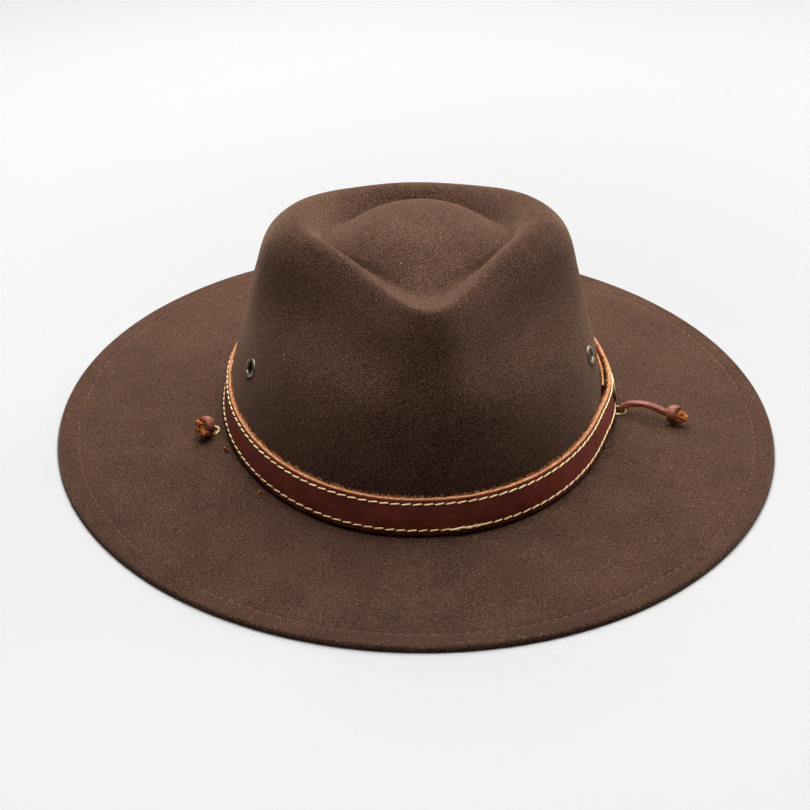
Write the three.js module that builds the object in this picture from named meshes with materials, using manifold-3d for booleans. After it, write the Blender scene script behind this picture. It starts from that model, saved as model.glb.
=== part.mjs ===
// A felt hunting hat with a pinched crown, a stitched leather band and a leather chin lace.
// Millimetres, +Z up. The pinch faces -Y, and the hat lies on its brim at z = 0.
// Left and right are the wearer's own, so left is +X.
import * as THREE from "three";
import { mergeVertices } from "three/addons/utils/BufferGeometryUtils.js";
import Module from "manifold-3d";

const wasm = await Module();
wasm.setup();

// Fit between pieces that touch.
const GAP = 0.3;

// The felt: one pressed piece, the same thickness all over.
const FELT_THICKNESS = 2.4;
const COLUMNS = 60;
// The hat rests on a narrow flat ring under the brim's edge.
const REST_WIDTH = 2.5;

// The felt's outer face, one row for each oval, from the brim's edge to the middle of the dome.
// side, front and back are half widths from the hat's middle. mid_x is the oval's middle, and mid_y
// is where it is widest.
// z_side, z_front and z_back are heights. point is the oval's power in the front half, where 2 is an
// ellipse and 1 is a straight V, and round is the same behind. steps divide the stretch up to the
// next row.
const FELT_ROWS = [
  { name: "brim_edge", side: 166.6, front: 184.2, back: 184.2, mid_x: 0, mid_y: 0,
    z_side: 2.4, z_front: 2.4, z_back: 2.4, point: 2, round: 2, steps: 3 },
  { name: "brim_middle", side: 128, front: 144.5, back: 147, mid_x: 0, mid_y: 1.5,
    z_side: 7, z_front: 2.9, z_back: 5.8, point: 2.03, round: 2.03, steps: 3 },
  { name: "brim_root", side: 91.6, front: 103.4, back: 110.8, mid_x: -0.4, mid_y: 3.7,
    z_side: 9.9, z_front: 2.8, z_back: 7.7, point: 2.07, round: 2.1, steps: 1 },
  { name: "root_curve", side: 88.8, front: 100.5, back: 107.9, mid_x: -0.5, mid_y: 3.7,
    z_side: 10.6, z_front: 3.2, z_back: 8.3, point: 2.07, round: 2.12, steps: 1 },
  { name: "band_low", side: 87.8, front: 99.5, back: 106.9, mid_x: -0.5, mid_y: 3.7,
    z_side: 11.9, z_front: 4.1, z_back: 9.6, point: 2.06, round: 2.12, steps: 2 },
  { name: "band_high", side: 84.6, front: 97.6, back: 105, mid_x: -0.5, mid_y: 3.7,
    z_side: 27.4, z_front: 21.2, z_back: 26, point: 2.06, round: 2.12, steps: 2 },
  { name: "wall_low", side: 81.3, front: 93.3, back: 102.2, mid_x: -0.2, mid_y: 3.7,
    z_side: 45, z_front: 40, z_back: 42, point: 1.9, round: 2.12, steps: 2 },
  { name: "wall_dent", side: 77.8, front: 88.3, back: 98.2, mid_x: 0.3, mid_y: 4.7,
    z_side: 60, z_front: 57, z_back: 56, point: 1.6, round: 2.12, steps: 2 },
  { name: "wall_high", side: 74.2, front: 81.3, back: 90.7, mid_x: 0.8, mid_y: 5.7,
    z_side: 77, z_front: 73, z_back: 71, point: 1.12, round: 2.12, steps: 2 },
  { name: "shoulder", side: 67.7, front: 74.8, back: 76.7, mid_x: 1.1, mid_y: 6.7,
    z_side: 97.5, z_front: 89.6, z_back: 87.5, point: 1, round: 1.92, steps: 2 },
  { name: "ridge", side: 55, front: 70.3, back: 64.7, mid_x: 1.1, mid_y: 6.7,
    z_side: 106, z_front: 96.8, z_back: 95.5, point: 1, round: 1.85, steps: 2 },
  { name: "ridge_inside", side: 47.5, front: 63.3, back: 55.7, mid_x: 1.2, mid_y: 5.7,
    z_side: 102, z_front: 96, z_back: 90, point: 1, round: 1.85, steps: 1 },
  { name: "valley", side: 42.5, front: 52.3, back: 47.7, mid_x: 1.4, mid_y: 4.7,
    z_side: 96, z_front: 95.3, z_back: 83, point: 1.1, round: 1.9, steps: 2 },
  { name: "dome_foot", side: 37.3, front: 39.3, back: 40.7, mid_x: 1.6, mid_y: 3.7,
    z_side: 98.5, z_front: 99.5, z_back: 91, point: 1.4, round: 2, steps: 2 },
  { name: "dome_side", side: 23, front: 21.3, back: 25.7, mid_x: 1.6, mid_y: 3.7,
    z_side: 106, z_front: 105.5, z_back: 105.5, point: 1.85, round: 2, steps: 2 },
];
const DOME_TOP = new THREE.Vector3(1.6, 3.7, 109);
const CORNER_SOFTNESS = 0.2;
const SIDE_LIFT_POWER = 2.5;

// The hatband: one strip of leather that goes once round the crown and laps over itself on the left.
// Its angles are in degrees, 0 at the front and 90 at the left, and it is pared thin at its inner end.
const STRAP = { thickness: 2.4, inner_thickness: 1.3, pared_turn: 60, step: 6, start: 80, end: 475 };
const STRAP_LAP = [
  { angle: 425, lift: 0 },
  { angle: 430, lift: 0.5 },
  { angle: 435, lift: 1.6 },
  { angle: 440, lift: 2.5 },
  { angle: 445, lift: 2.7 },
  { angle: 475, lift: 2.6 },
];

// The brass plate on the lap, with two prongs through the strap that are bent up behind it.
const PLATE = { angle: 446.5, half_length: 9, half_height: 6.1, edge: 0.5, crest: 0.8, middle: 0.9,
  crest_reach: 0.6, sides: 24 };
const PRONG = { offset: 5.5, width: 2, thickness: 0.5, leg: 6.5, root: 1, slot_room: 0.5 };

// Eyelets: a rolled flange outside, a barrel through the felt and a washer inside. The flange is
// highest between its two crests, and its edges are lower.
const EYELET = { outer: 4.8, outer_crest: 4.1, inner_crest: 3.4, bore: 2.8, barrel: 3.3, flange: 0.9,
  flange_edge: 0.4, washer: 4.4, washer_thickness: 0.4, washer_gap: 0.45, sides: 16 };
const PUNCH_LENGTH = 14;
// level counts the rows of the felt's table, from 0 at the brim's edge.
const EYELETS = [
  { name: "crown_eyelet_left", angle: 73, level: 6.26, colour: "nickel" },
  { name: "crown_eyelet_right", angle: -71.5, level: 6.3, colour: "nickel" },
  { name: "brim_eyelet_left", angle: 84.4, level: 1.83, colour: "brass" },
  { name: "brim_eyelet_right", angle: -81, level: 1.81, colour: "brass" },
];

// The chin lace, from the knot over the right eyelet, down through it, along the surface behind the
// crown, up through the left eyelet and in a low arc to the other knot.
const LACE = { diameter: 3, sides: 8, steps: 76 };
const LACE_ROUTE = [
  [-95.9, -15.8, 12], [-95.3, -14.4, 9.4], [-95.1, -14, 7], [-95.4, -13.1, 4], [-96.2, -10.9, 2.1],
  [-97.6, -7.3, 1.6], [-101.4, 3.7, 1.6], [-105.8, 17.7, 1.6], [-108.8, 33.7, 1.6], [-108.4, 51.7, 1.6],
  [-102.6, 71.7, 1.6], [-90.8, 91.7, 1.6], [-73.8, 108.7, 1.6], [-51.8, 120.7, 1.6], [-26.8, 127.1, 1.6],
  [1.2, 129.1, 1.6], [29.2, 127.1, 1.6], [54.2, 120.7, 1.6], [76.2, 108.7, 1.6], [93.2, 91.7, 1.6],
  [105, 71.7, 1.6], [110.2, 51.7, 1.6], [110, 35.7, 1.6], [106.8, 20.7, 1.6], [101.8, 6.7, 1.6],
  [97.8, -0.7, 1.6], [96, -4.4, 2.3], [94.6, -6.7, 4.4], [94.3, -7.2, 7], [94.9, -7.4, 9.4],
  [96.2, -7.9, 11.6], [98.5, -8.9, 13.4], [101.6, -10.2, 14.6], [105.6, -11.9, 15], [110, -13.8, 14.4],
  [113.8, -15.3, 13.2], [116.4, -16.3, 12.5],
];

// The knots: the lace's last turns, pulled tight round its own core, with the cut end poking out.
const KNOT = { turn: 2.6, core: 1.5, core_length: 7.6, core_shift: 1.1, tilt: 0.7, turn_sides: 10 };
const KNOTS = [
  { name: "lace_knot_left", centre: [120.4, -17.9, 12.3], axis: [1, -0.4, 0.06] },
  { name: "lace_knot_right", centre: [-97.9, -18.6, 15.6], axis: [-0.9, -0.3, 0.35] },
];

// Each material's colour, roughness and metalness.
const FELT = { color: 0x4a3a31, roughness: 0.95, metalness: 0 };
const LEATHER = { color: 0x70423a, roughness: 0.5, metalness: 0 };
const BRASS = { color: 0xb09a5c, roughness: 0.35, metalness: 1 };
const NICKEL = { color: 0x8d8c80, roughness: 0.4, metalness: 1 };

const UP = new THREE.Vector3(0, 1, 0);
const DEGREE = Math.PI / 180;

function named(name, geometry, finish) {
  const mesh = new THREE.Mesh(geometry, new THREE.MeshStandardMaterial(finish));
  mesh.name = name;
  return mesh;
}

// Solids for joining and cutting: only the position is kept, and shared corners are merged.
function solidOf(geometry) {
  const bare = new THREE.BufferGeometry();
  bare.setAttribute("position", geometry.getAttribute("position"));
  bare.setIndex(geometry.getIndex());
  const merged = mergeVertices(bare, 1e-4);
  const vertProperties = new Float32Array(merged.getAttribute("position").array);
  const triVerts = new Uint32Array(merged.getIndex().array);
  return new wasm.Manifold(new wasm.Mesh({ numProp: 3, vertProperties, triVerts }));
}

function geometryOf(solid) {
  const mesh = solid.getMesh();
  const geometry = new THREE.BufferGeometry();
  geometry.setAttribute("position", new THREE.BufferAttribute(new Float32Array(mesh.vertProperties), 3));
  geometry.setIndex(Array.from(mesh.triVerts));
  return geometry;
}

// Powers under 2 give an oval with corners, and this rounds them.
function softened(value, power) {
  const softness = CORNER_SOFTNESS * Math.max(0, 2 - power);
  return (Math.hypot(value, softness) - softness) / (Math.hypot(1, softness) - softness);
}

// One point of a row's oval. The angle is 0 at the front and a quarter turn at the left.
function ovalPoint(row, angle) {
  const across = Math.sin(angle);
  const along = -Math.cos(angle);
  const isFront = along < 0;
  const power = isFront ? row.point : row.round;
  const reach = (softened(across, power) ** power + softened(along, power) ** power) ** (-1 / power);
  const length = isFront ? row.front + row.mid_y : row.back - row.mid_y;
  const endHeight = isFront ? row.z_front : row.z_back;
  const lift = Math.abs(across) ** SIDE_LIFT_POWER;
  return new THREE.Vector3(
    row.mid_x + row.side * reach * across,
    row.mid_y + length * reach * along,
    endHeight + (row.z_side - endHeight) * lift,
  );
}

// The felt's outer face up one column, a smooth curve through its rows.
function columnCurve(angle) {
  const knots = FELT_ROWS.map((row) => ovalPoint(row, angle));
  return new THREE.CatmullRomCurve3([...knots, DOME_TOP], false, "centripetal");
}

function feltPoint(angle, level) {
  return columnCurve(angle).getPoint(level / FELT_ROWS.length);
}

function feltNormal(angle, level) {
  const nearby = 0.02;
  const around = feltPoint(angle + nearby, level).sub(feltPoint(angle - nearby, level));
  const upward = feltPoint(angle, level + nearby).sub(feltPoint(angle, level - nearby));
  return around.cross(upward).normalize();
}

// Closes a stack of rings of points with a fan to a point at each end.
function skinBetween(firstPoint, rings, lastPoint) {
  const count = rings[0].length;
  const points = [firstPoint, ...rings.flat(), lastPoint];
  const last = points.length - 1;
  const faces = [];
  for (let i = 0; i < count; i += 1) {
    const next = (i + 1) % count;
    faces.push(0, 1 + i, 1 + next);
    for (let ring = 0; ring < rings.length - 1; ring += 1) {
      const low = 1 + ring * count;
      const high = low + count;
      faces.push(low + i, high + i, high + next, low + i, high + next, low + next);
    }
    const end = 1 + (rings.length - 1) * count;
    faces.push(end + i, last, end + next);
  }
  const geometry = new THREE.BufferGeometry().setFromPoints(points);
  geometry.setIndex(faces);
  return geometry;
}

// Crown and brim in one: the outer face, and the inner face one felt thickness behind it.
function feltSkin() {
  const levels = FELT_ROWS.flatMap((row, index) => (
    Array.from({ length: row.steps }, (unused, step) => index + step / row.steps)
  ));
  const angles = Array.from({ length: COLUMNS }, (unused, i) => (i / COLUMNS) * 2 * Math.PI);
  const outer = levels.map((level) => angles.map((angle) => feltPoint(angle, level)));
  const [edgeRow] = FELT_ROWS;
  const restRow = { ...edgeRow, side: edgeRow.side - REST_WIDTH, front: edgeRow.front - REST_WIDTH,
    back: edgeRow.back - REST_WIDTH };
  const restRings = [edgeRow, restRow].map((row) => angles.map((angle) => ovalPoint(row, angle).setZ(0)));
  const inner = levels.slice(1).map((level) => (
    angles.map((angle) => feltPoint(angle, level).addScaledVector(feltNormal(angle, level), -FELT_THICKNESS))
  ));
  const underTop = DOME_TOP.clone().setZ(DOME_TOP.z - FELT_THICKNESS);
  return skinBetween(DOME_TOP, [...outer.reverse(), ...restRings, ...inner], underTop);
}

// Turns a shape made round the Y axis so that the axis points along a direction at a place.
function placed(geometry, place, direction) {
  const turn = new THREE.Quaternion().setFromUnitVectors(UP, direction);
  return geometry.applyQuaternion(turn).translate(place.x, place.y, place.z);
}

// Where an eyelet sits on the felt, and which way it faces.
function eyeletSeat(eyelet) {
  const angle = eyelet.angle * DEGREE;
  return { place: feltPoint(angle, eyelet.level), direction: feltNormal(angle, eyelet.level) };
}

// The felt skin with a hole punched for each eyelet.
function feltGeometry() {
  let felt = solidOf(feltSkin());
  for (const eyelet of EYELETS) {
    const { place, direction } = eyeletSeat(eyelet);
    const holeRadius = EYELET.barrel + GAP;
    const punch = new THREE.CylinderGeometry(holeRadius, holeRadius, PUNCH_LENGTH, EYELET.sides);
    felt = felt.subtract(solidOf(placed(punch, place, direction)));
  }
  return geometryOf(felt);
}

// A closed lathe profile: washer, barrel, rolled flange and bore.
function eyeletGeometry(eyelet) {
  const { place, direction } = eyeletSeat(eyelet);
  const washerTop = -FELT_THICKNESS - EYELET.washer_gap;
  const washerFoot = washerTop - EYELET.washer_thickness;
  const profile = [
    [EYELET.bore, washerFoot],
    [EYELET.washer, washerFoot],
    [EYELET.washer, washerTop],
    [EYELET.barrel, washerTop],
    [EYELET.barrel, GAP],
    [EYELET.outer, GAP],
    [EYELET.outer, GAP + EYELET.flange_edge],
    [EYELET.outer_crest, GAP + EYELET.flange],
    [EYELET.inner_crest, GAP + EYELET.flange],
    [EYELET.bore, GAP + EYELET.flange_edge],
    [EYELET.bore, washerFoot],
  ];
  const lathe = new THREE.LatheGeometry(profile.map(([x, y]) => new THREE.Vector2(x, y)), EYELET.sides);
  return placed(lathe, place, direction);
}

// How far the strap stands off the felt at an angle, because of what it laps over.
function strapLift(angle) {
  const next = STRAP_LAP.findIndex((row) => row.angle >= angle);
  if (next === 0) {
    return STRAP_LAP[0].lift;
  }
  const above = STRAP_LAP[next];
  const below = STRAP_LAP[next - 1];
  return THREE.MathUtils.mapLinear(angle, below.angle, above.angle, below.lift, above.lift);
}

// One cross section of the strap: inner and outer corners, low and high.
function strapSection(angle) {
  const turn = angle * DEGREE;
  const pared = Math.min(1, (angle - STRAP.start) / STRAP.pared_turn);
  const thickness = THREE.MathUtils.lerp(STRAP.inner_thickness, STRAP.thickness, pared);
  const insideGap = GAP + strapLift(angle);
  const [low, high] = ["band_low", "band_high"].map((name) => {
    const level = FELT_ROWS.findIndex((row) => row.name === name);
    const outward = feltNormal(turn, level).setZ(0).normalize();
    const onFelt = feltPoint(turn, level);
    return {
      inner: onFelt.clone().addScaledVector(outward, insideGap),
      outer: onFelt.clone().addScaledVector(outward, insideGap + thickness),
    };
  });
  return [low.inner, low.outer, high.outer, high.inner];
}

function middleOf(points) {
  return points.reduce((sum, point) => sum.add(point), new THREE.Vector3()).divideScalar(points.length);
}

// Its sections between the two ends stand on the felt's own columns.
function strapSkin() {
  const angles = [STRAP.start];
  const firstColumn = STRAP.step * Math.ceil(STRAP.start / STRAP.step);
  for (let angle = firstColumn; angle < STRAP.end; angle += STRAP.step) {
    angles.push(angle);
  }
  const sections = [...angles, STRAP.end].map(strapSection);
  return skinBetween(middleOf(sections[0]), sections, middleOf(sections.at(-1)));
}

// The plate's own axes on the strap: along it, out of it and up it.
function plateAxes() {
  const [, low, high] = strapSection(PLATE.angle);
  const [, lowNext] = strapSection(PLATE.angle + 1);
  const along = lowNext.clone().sub(low).normalize();
  const upward = high.clone().sub(low).normalize();
  const outward = along.clone().cross(upward).normalize();
  const centre = low.clone().lerp(high, 0.5);
  return new THREE.Matrix4().makeBasis(along, outward, along.clone().cross(outward)).setPosition(centre);
}

// One prong as two boxes, through the strap and up behind it. Room widens the first to cut its slot.
function prongBoxes(side, room) {
  const behind = STRAP.thickness + 2 * GAP;
  const depth = behind + PRONG.thickness + PRONG.root;
  const through = new THREE.BoxGeometry(PRONG.width + room, depth, PRONG.thickness + room);
  through.translate(side * PRONG.offset, PRONG.root - 0.5 * depth, 0);
  const leg = new THREE.BoxGeometry(PRONG.width, PRONG.thickness, PRONG.leg);
  leg.translate(side * PRONG.offset, -behind - 0.5 * PRONG.thickness, 0.5 * (PRONG.thickness - PRONG.leg));
  return { through, leg };
}

function plateGeometry() {
  const profile = [
    [0, GAP],
    [1, GAP],
    [1, GAP + PLATE.edge],
    [PLATE.crest_reach, GAP + PLATE.crest],
    [0, GAP + PLATE.middle],
  ];
  const plate = new THREE.LatheGeometry(profile.map(([x, y]) => new THREE.Vector2(x, y)), PLATE.sides);
  plate.scale(PLATE.half_length, 1, PLATE.half_height);
  let solid = solidOf(plate);
  for (const side of [-1, 1]) {
    const { through, leg } = prongBoxes(side, 0);
    solid = solid.add(solidOf(through)).add(solidOf(leg));
  }
  return geometryOf(solid).applyMatrix4(plateAxes());
}

function strapGeometry() {
  let strap = solidOf(strapSkin());
  for (const side of [-1, 1]) {
    const { through } = prongBoxes(side, PRONG.slot_room);
    strap = strap.subtract(solidOf(through.applyMatrix4(plateAxes())));
  }
  return geometryOf(strap);
}

function laceGeometry() {
  const path = new THREE.CatmullRomCurve3(LACE_ROUTE.map((point) => new THREE.Vector3(...point)));
  const section = new THREE.Shape();
  for (let i = 0; i < LACE.sides; i += 1) {
    const turn = (i / LACE.sides) * 2 * Math.PI;
    const corner = [0.5 * LACE.diameter * Math.cos(turn), 0.5 * LACE.diameter * Math.sin(turn)];
    if (i === 0) {
      section.moveTo(...corner);
    } else {
      section.lineTo(...corner);
    }
  }
  return new THREE.ExtrudeGeometry(section, { steps: LACE.steps, extrudePath: path });
}

function knotGeometry(knot) {
  const core = new THREE.CylinderGeometry(KNOT.core, KNOT.core, KNOT.core_length, LACE.sides);
  core.translate(0, KNOT.core_shift, 0);
  let solid = solidOf(core);
  for (const side of [-1, 1]) {
    const turn = new THREE.TorusGeometry(KNOT.turn, KNOT.core, LACE.sides, KNOT.turn_sides);
    turn.rotateX(0.5 * Math.PI + side * KNOT.tilt);
    solid = solid.add(solidOf(turn));
  }
  const direction = new THREE.Vector3(...knot.axis).normalize();
  return placed(geometryOf(solid), new THREE.Vector3(...knot.centre), direction);
}

const hat = new THREE.Group();
hat.add(named("felt_body", feltGeometry(), FELT));
hat.add(named("hatband_strap", strapGeometry(), LEATHER));
hat.add(named("band_plate", plateGeometry(), BRASS));
for (const eyelet of EYELETS) {
  hat.add(named(eyelet.name, eyeletGeometry(eyelet), eyelet.colour === "brass" ? BRASS : NICKEL));
}
hat.add(named("chin_lace", laceGeometry(), LEATHER));
for (const knot of KNOTS) {
  hat.add(named(knot.name, knotGeometry(knot), LEATHER));
}

export default hat;
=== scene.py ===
import math
import random

import bpy
import numpy as np
from mathutils import Matrix, Quaternion, Vector, noise


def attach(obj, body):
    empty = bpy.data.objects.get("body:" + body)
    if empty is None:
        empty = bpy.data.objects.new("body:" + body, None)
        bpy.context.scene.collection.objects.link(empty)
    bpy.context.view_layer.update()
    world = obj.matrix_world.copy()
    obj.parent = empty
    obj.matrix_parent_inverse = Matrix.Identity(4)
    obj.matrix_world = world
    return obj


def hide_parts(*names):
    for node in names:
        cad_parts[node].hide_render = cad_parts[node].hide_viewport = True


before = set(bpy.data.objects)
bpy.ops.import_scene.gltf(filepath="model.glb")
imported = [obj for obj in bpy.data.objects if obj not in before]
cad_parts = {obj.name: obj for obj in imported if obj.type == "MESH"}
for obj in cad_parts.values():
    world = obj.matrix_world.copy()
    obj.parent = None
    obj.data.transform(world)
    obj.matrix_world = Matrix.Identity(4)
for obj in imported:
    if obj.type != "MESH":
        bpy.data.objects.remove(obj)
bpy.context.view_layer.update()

MM = 0.001
bpy.ops.object.select_all(action="DESELECT")


# The studio: a camera above the front of the brim, a paper floor, a bank of softboxes close overhead, a
# lamp at the back on the right that lights the edges, and a dim room.
CAMERA_AZIMUTH = -4.11
CAMERA_ELEVATION = 30.02
CAMERA_ROLL = 0.23
CAMERA_DISTANCE = 1.2
LENS_LENGTH = 113.6
FRAME_SHIFT = (-0.0131, 0.0268)
FLOOR_SIZE = 12
FLOOR_DROP = 0.2
# The bright spot of the lamps on the floor, and how much narrower it is across than along.
LIT_MIDDLE = (0.04, 0.18, 0)
LIT_NARROWING = (1.2, 1, 0)
LIT_REACH_SQUARED = 0.26
PAPER_SHADES = (0.279, 0.555)
ROOM_LIGHT_FROM = (0, 0.4, 0.917)
ROOM_FADE = (0.4, 0.75)
ROOM_SHADES = (0.02, 0.12)

turn = math.radians(CAMERA_AZIMUTH)
rise = math.radians(CAMERA_ELEVATION)
backward = Vector((math.sin(turn) * math.cos(rise), -math.cos(turn) * math.cos(rise), math.sin(rise)))
bpy.ops.object.camera_add(location=backward * CAMERA_DISTANCE)
camera = bpy.context.object
camera.rotation_mode = "QUATERNION"
level_view = (-backward).to_track_quat("-Z", "Y")
camera.rotation_quaternion = level_view @ Quaternion((0, 0, 1), math.radians(CAMERA_ROLL))
camera.data.lens = LENS_LENGTH
camera.data.sensor_width = 36
camera.data.shift_x = FRAME_SHIFT[0]
camera.data.shift_y = FRAME_SHIFT[1]
bpy.context.scene.camera = camera


def linear(hex_colour, alpha=1):
    """An sRGB hex colour as the linear values that a shader takes."""
    parts = [int(hex_colour[i:i + 2], 16) / 255 for i in (1, 3, 5)]
    return [p / 12.92 if p <= 0.04045 else ((p + 0.055) / 1.055) ** 2.4 for p in parts] + [alpha]


def node(tree, kind, inputs=None, **settings):
    """Adds a node, sets its fields, and gives each input a value or a link."""
    made = tree.nodes.new(kind)
    for field, value in settings.items():
        setattr(made, field, value)
    for name, value in (inputs or {}).items():
        if isinstance(value, bpy.types.NodeSocket):
            tree.links.new(value, made.inputs[name])
        else:
            made.inputs[name].default_value = value
    return made


def finish_named(name, **sockets):
    """A new material with one Principled shader, whose sockets are set here."""
    material = bpy.data.materials.new(name)
    material.use_nodes = True
    material.node_tree.nodes.clear()
    shader = node(material.node_tree, "ShaderNodeBsdfPrincipled")
    for socket, value in sockets.items():
        shader.inputs[socket.replace("_", " ")].default_value = value
    node(material.node_tree, "ShaderNodeOutputMaterial", {"Surface": shader.outputs[0]})
    return material, material.node_tree, shader


bpy.ops.mesh.primitive_plane_add(size=FLOOR_SIZE, location=(0, 0, -FLOOR_DROP * MM))
floor = bpy.context.object
floor.name = "floor"
# Grey paper that the lamps burn out to an even near-white, so it is darker where they are nearest.
paper, tree, shader = finish_named("matt_paper_sweep", Roughness=0.9)
where = node(tree, "ShaderNodeTexCoord").outputs["Object"]
from_lamps = node(tree, "ShaderNodeVectorMath", {0: where, 1: LIT_MIDDLE}, operation="SUBTRACT")
narrowed = node(tree, "ShaderNodeVectorMath", {0: from_lamps.outputs["Vector"], 1: LIT_NARROWING},
                operation="MULTIPLY")
square = node(tree, "ShaderNodeVectorMath", {0: narrowed.outputs["Vector"], 1: narrowed.outputs["Vector"]},
              operation="DOT_PRODUCT")
shade = node(tree, "ShaderNodeMapRange", {"Value": square.outputs["Value"], "From Max": LIT_REACH_SQUARED,
                                        "To Min": PAPER_SHADES[0], "To Max": PAPER_SHADES[1]})
tree.links.new(shade.outputs["Result"], shader.inputs["Base Color"])
floor.data.materials.append(paper)

for name, place, size, power in [
    ("softbox_top", (0, 0.2, 0.55), 0.4, 1.8),
    ("softbox_top_front", (0, -0.05, 0.58), 0.4, 4.2),
    ("softbox_top_back", (0, 0.45, 0.5), 0.4, 5.2),
    ("softbox_top_right", (0.4, 0.2, 0.55), 0.4, 1.3),
    ("lamp_right_side", (1.2, 0.7, 0.5), 0.6, 7.5),
]:
    bpy.ops.object.light_add(type="AREA", location=place)
    lamp = bpy.context.object
    lamp.name = name
    lamp.data.size = size
    lamp.data.energy = power
    lamp.rotation_euler = (-Vector(place)).to_track_quat("-Z", "Y").to_euler()

room = bpy.data.worlds.new("dim_room")
room.use_nodes = True
sky = room.node_tree
sky.nodes.clear()
looking = node(sky, "ShaderNodeTexCoord").outputs["Generated"]
overhead = node(sky, "ShaderNodeVectorMath", {0: looking, 1: ROOM_LIGHT_FROM},
                operation="DOT_PRODUCT")
fade = node(sky, "ShaderNodeMapRange", {"Value": overhead.outputs["Value"],
                                       "From Min": ROOM_FADE[0], "From Max": ROOM_FADE[1],
                                       "To Min": ROOM_SHADES[0], "To Max": ROOM_SHADES[1]},
            interpolation_type="SMOOTHSTEP")
glow = node(sky, "ShaderNodeBackground", {"Color": linear("#ffffff"), "Strength": fade.outputs["Result"]})
node(sky, "ShaderNodeOutputWorld", {"Surface": glow.outputs[0]})
bpy.context.scene.world = room
bpy.context.scene.view_settings.view_transform = "Standard"


# The chin lace: one square-cut thong of latigo leather, about 3 mm across. It is threaded from the
# right brim eyelet, under the brim behind the crown, up through the left eyelet and out.
LACE_ROUTE = [
    (-95.9, -15.8, 12), (-95.3, -14.4, 9.4), (-95.1, -14, 7), (-95.4, -13.1, 4), (-96.2, -10.9, 2.1),
    (-97.6, -7.3, 1.6), (-101.4, 3.7, 1.6), (-105.8, 17.7, 1.6), (-108.8, 33.7, 1.6),
    (-108.4, 51.7, 1.6), (-102.6, 71.7, 1.6), (-90.8, 91.7, 1.6), (-73.8, 108.7, 1.6),
    (-51.8, 120.7, 1.6), (-26.8, 127.1, 1.6), (1.2, 129.1, 1.6), (29.2, 127.1, 1.6),
    (54.2, 120.7, 1.6), (76.2, 108.7, 1.6), (93.2, 91.7, 1.6), (105, 71.7, 1.6), (110.2, 51.7, 1.6),
    (110, 35.7, 1.6), (106.8, 20.7, 1.6), (101.8, 6.7, 1.6), (97.8, -0.7, 1.6), (96, -4.4, 2.3),
    (94.6, -6.7, 4.4), (94.3, -7.2, 7), (94.9, -7.4, 9.4), (96.2, -7.9, 11.6), (98.5, -8.9, 13.4),
    (101.6, -10.2, 14.6), (105.6, -11.9, 15), (110, -13.8, 14.4), (113.8, -15.3, 13.2),
    (116.4, -16.3, 12.5),
]
LACE_HALF_WIDTH = 1.5
LACE_HALF_HEIGHT = 1.35
LACE_SAMPLES_PER_SPAN = 5
LACE_ROUGHNESS = 0.16
THONG_CORNERS = 16
THONG_SQUARENESS = 5
SHARP_EDGE = 38


def curve_points(knots, places):
    """Points of a centripetal Catmull-Rom curve. knots is (..., knot, 3), places count knots."""
    knots = np.asarray(knots, float)
    first = 2 * knots[..., :1, :] - knots[..., 1:2, :]
    last = 2 * knots[..., -1:, :] - knots[..., -2:-1, :]
    padded = np.concatenate([first, knots, last], axis=-2)
    found = []
    for place in places:
        span = min(int(place), knots.shape[-2] - 2)
        weight = place - span
        p0, p1, p2, p3 = (padded[..., span + i, :] for i in range(4))
        step = [np.maximum(np.linalg.norm(b - a, axis=-1, keepdims=True), 1e-9) ** 0.5
                for a, b in ((p0, p1), (p1, p2), (p2, p3))]
        start = (p1 - p0) / step[0] - (p2 - p0) / (step[0] + step[1]) + (p2 - p1) / step[1]
        end = (p2 - p1) / step[1] - (p3 - p1) / (step[1] + step[2]) + (p3 - p2) / step[2]
        start = start * step[1]
        end = end * step[1]
        square = -3 * p1 + 3 * p2 - 2 * start - end
        cube = 2 * p1 - 2 * p2 + start + end
        found.append(p1 + start * weight + square * weight ** 2 + cube * weight ** 3)
    return np.array(found)


def skin(name, rings, capped=True):
    """A circle extruded once for each ring, then set to the rings' points, with a map of both."""
    count = len(rings[0])
    bpy.ops.object.select_all(action="DESELECT")
    bpy.ops.mesh.primitive_circle_add(vertices=count, radius=1, fill_type="NGON" if capped else "NOTHING",
                                      calc_uvs=False)
    piece = bpy.context.object
    piece.name = name
    bpy.ops.object.mode_set(mode="EDIT")
    bpy.ops.mesh.select_mode(type="VERT")
    bpy.ops.mesh.select_all(action="SELECT")
    for _ in rings[1:]:
        bpy.ops.mesh.extrude_region_move(TRANSFORM_OT_translate={"value": (0, 0, 1)})
    bpy.ops.object.mode_set(mode="OBJECT")
    mesh = piece.data
    ring_of = [round(v.co.z) for v in mesh.vertices]
    column_of = [round(math.atan2(-v.co.x, v.co.y) / (2 * math.pi) * count) % count for v in mesh.vertices]
    run = mesh.uv_layers.new(name="run")
    for face in mesh.polygons:
        columns = [column_of[v] for v in face.vertices]
        wraps = len(columns) == 4 and max(columns) - min(columns) > 1
        for loop, v in zip(face.loop_indices, face.vertices):
            column = column_of[v] + (count if wraps and column_of[v] == 0 else 0)
            run.data[loop].uv = (column / count, ring_of[v] / (len(rings) - 1))
    for v in mesh.vertices:
        v.co = rings[ring_of[v.index]][column_of[v.index]]
    bpy.ops.object.mode_set(mode="EDIT")
    bpy.ops.mesh.select_all(action="SELECT")
    bpy.ops.mesh.remove_doubles(threshold=1e-7)
    bpy.ops.mesh.normals_make_consistent(inside=False)
    bpy.ops.object.mode_set(mode="OBJECT")
    bpy.ops.object.shade_smooth_by_angle(angle=math.radians(SHARP_EDGE))
    return piece


def paint_columns(piece, chooser):
    """Gives each face the material slot that chooser names for its middle on the map."""
    run = piece.data.uv_layers["run"].data
    for face in piece.data.polygons:
        across = sum(run[i].uv[0] for i in face.loop_indices) / face.loop_total
        face.material_index = chooser(across)


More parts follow.
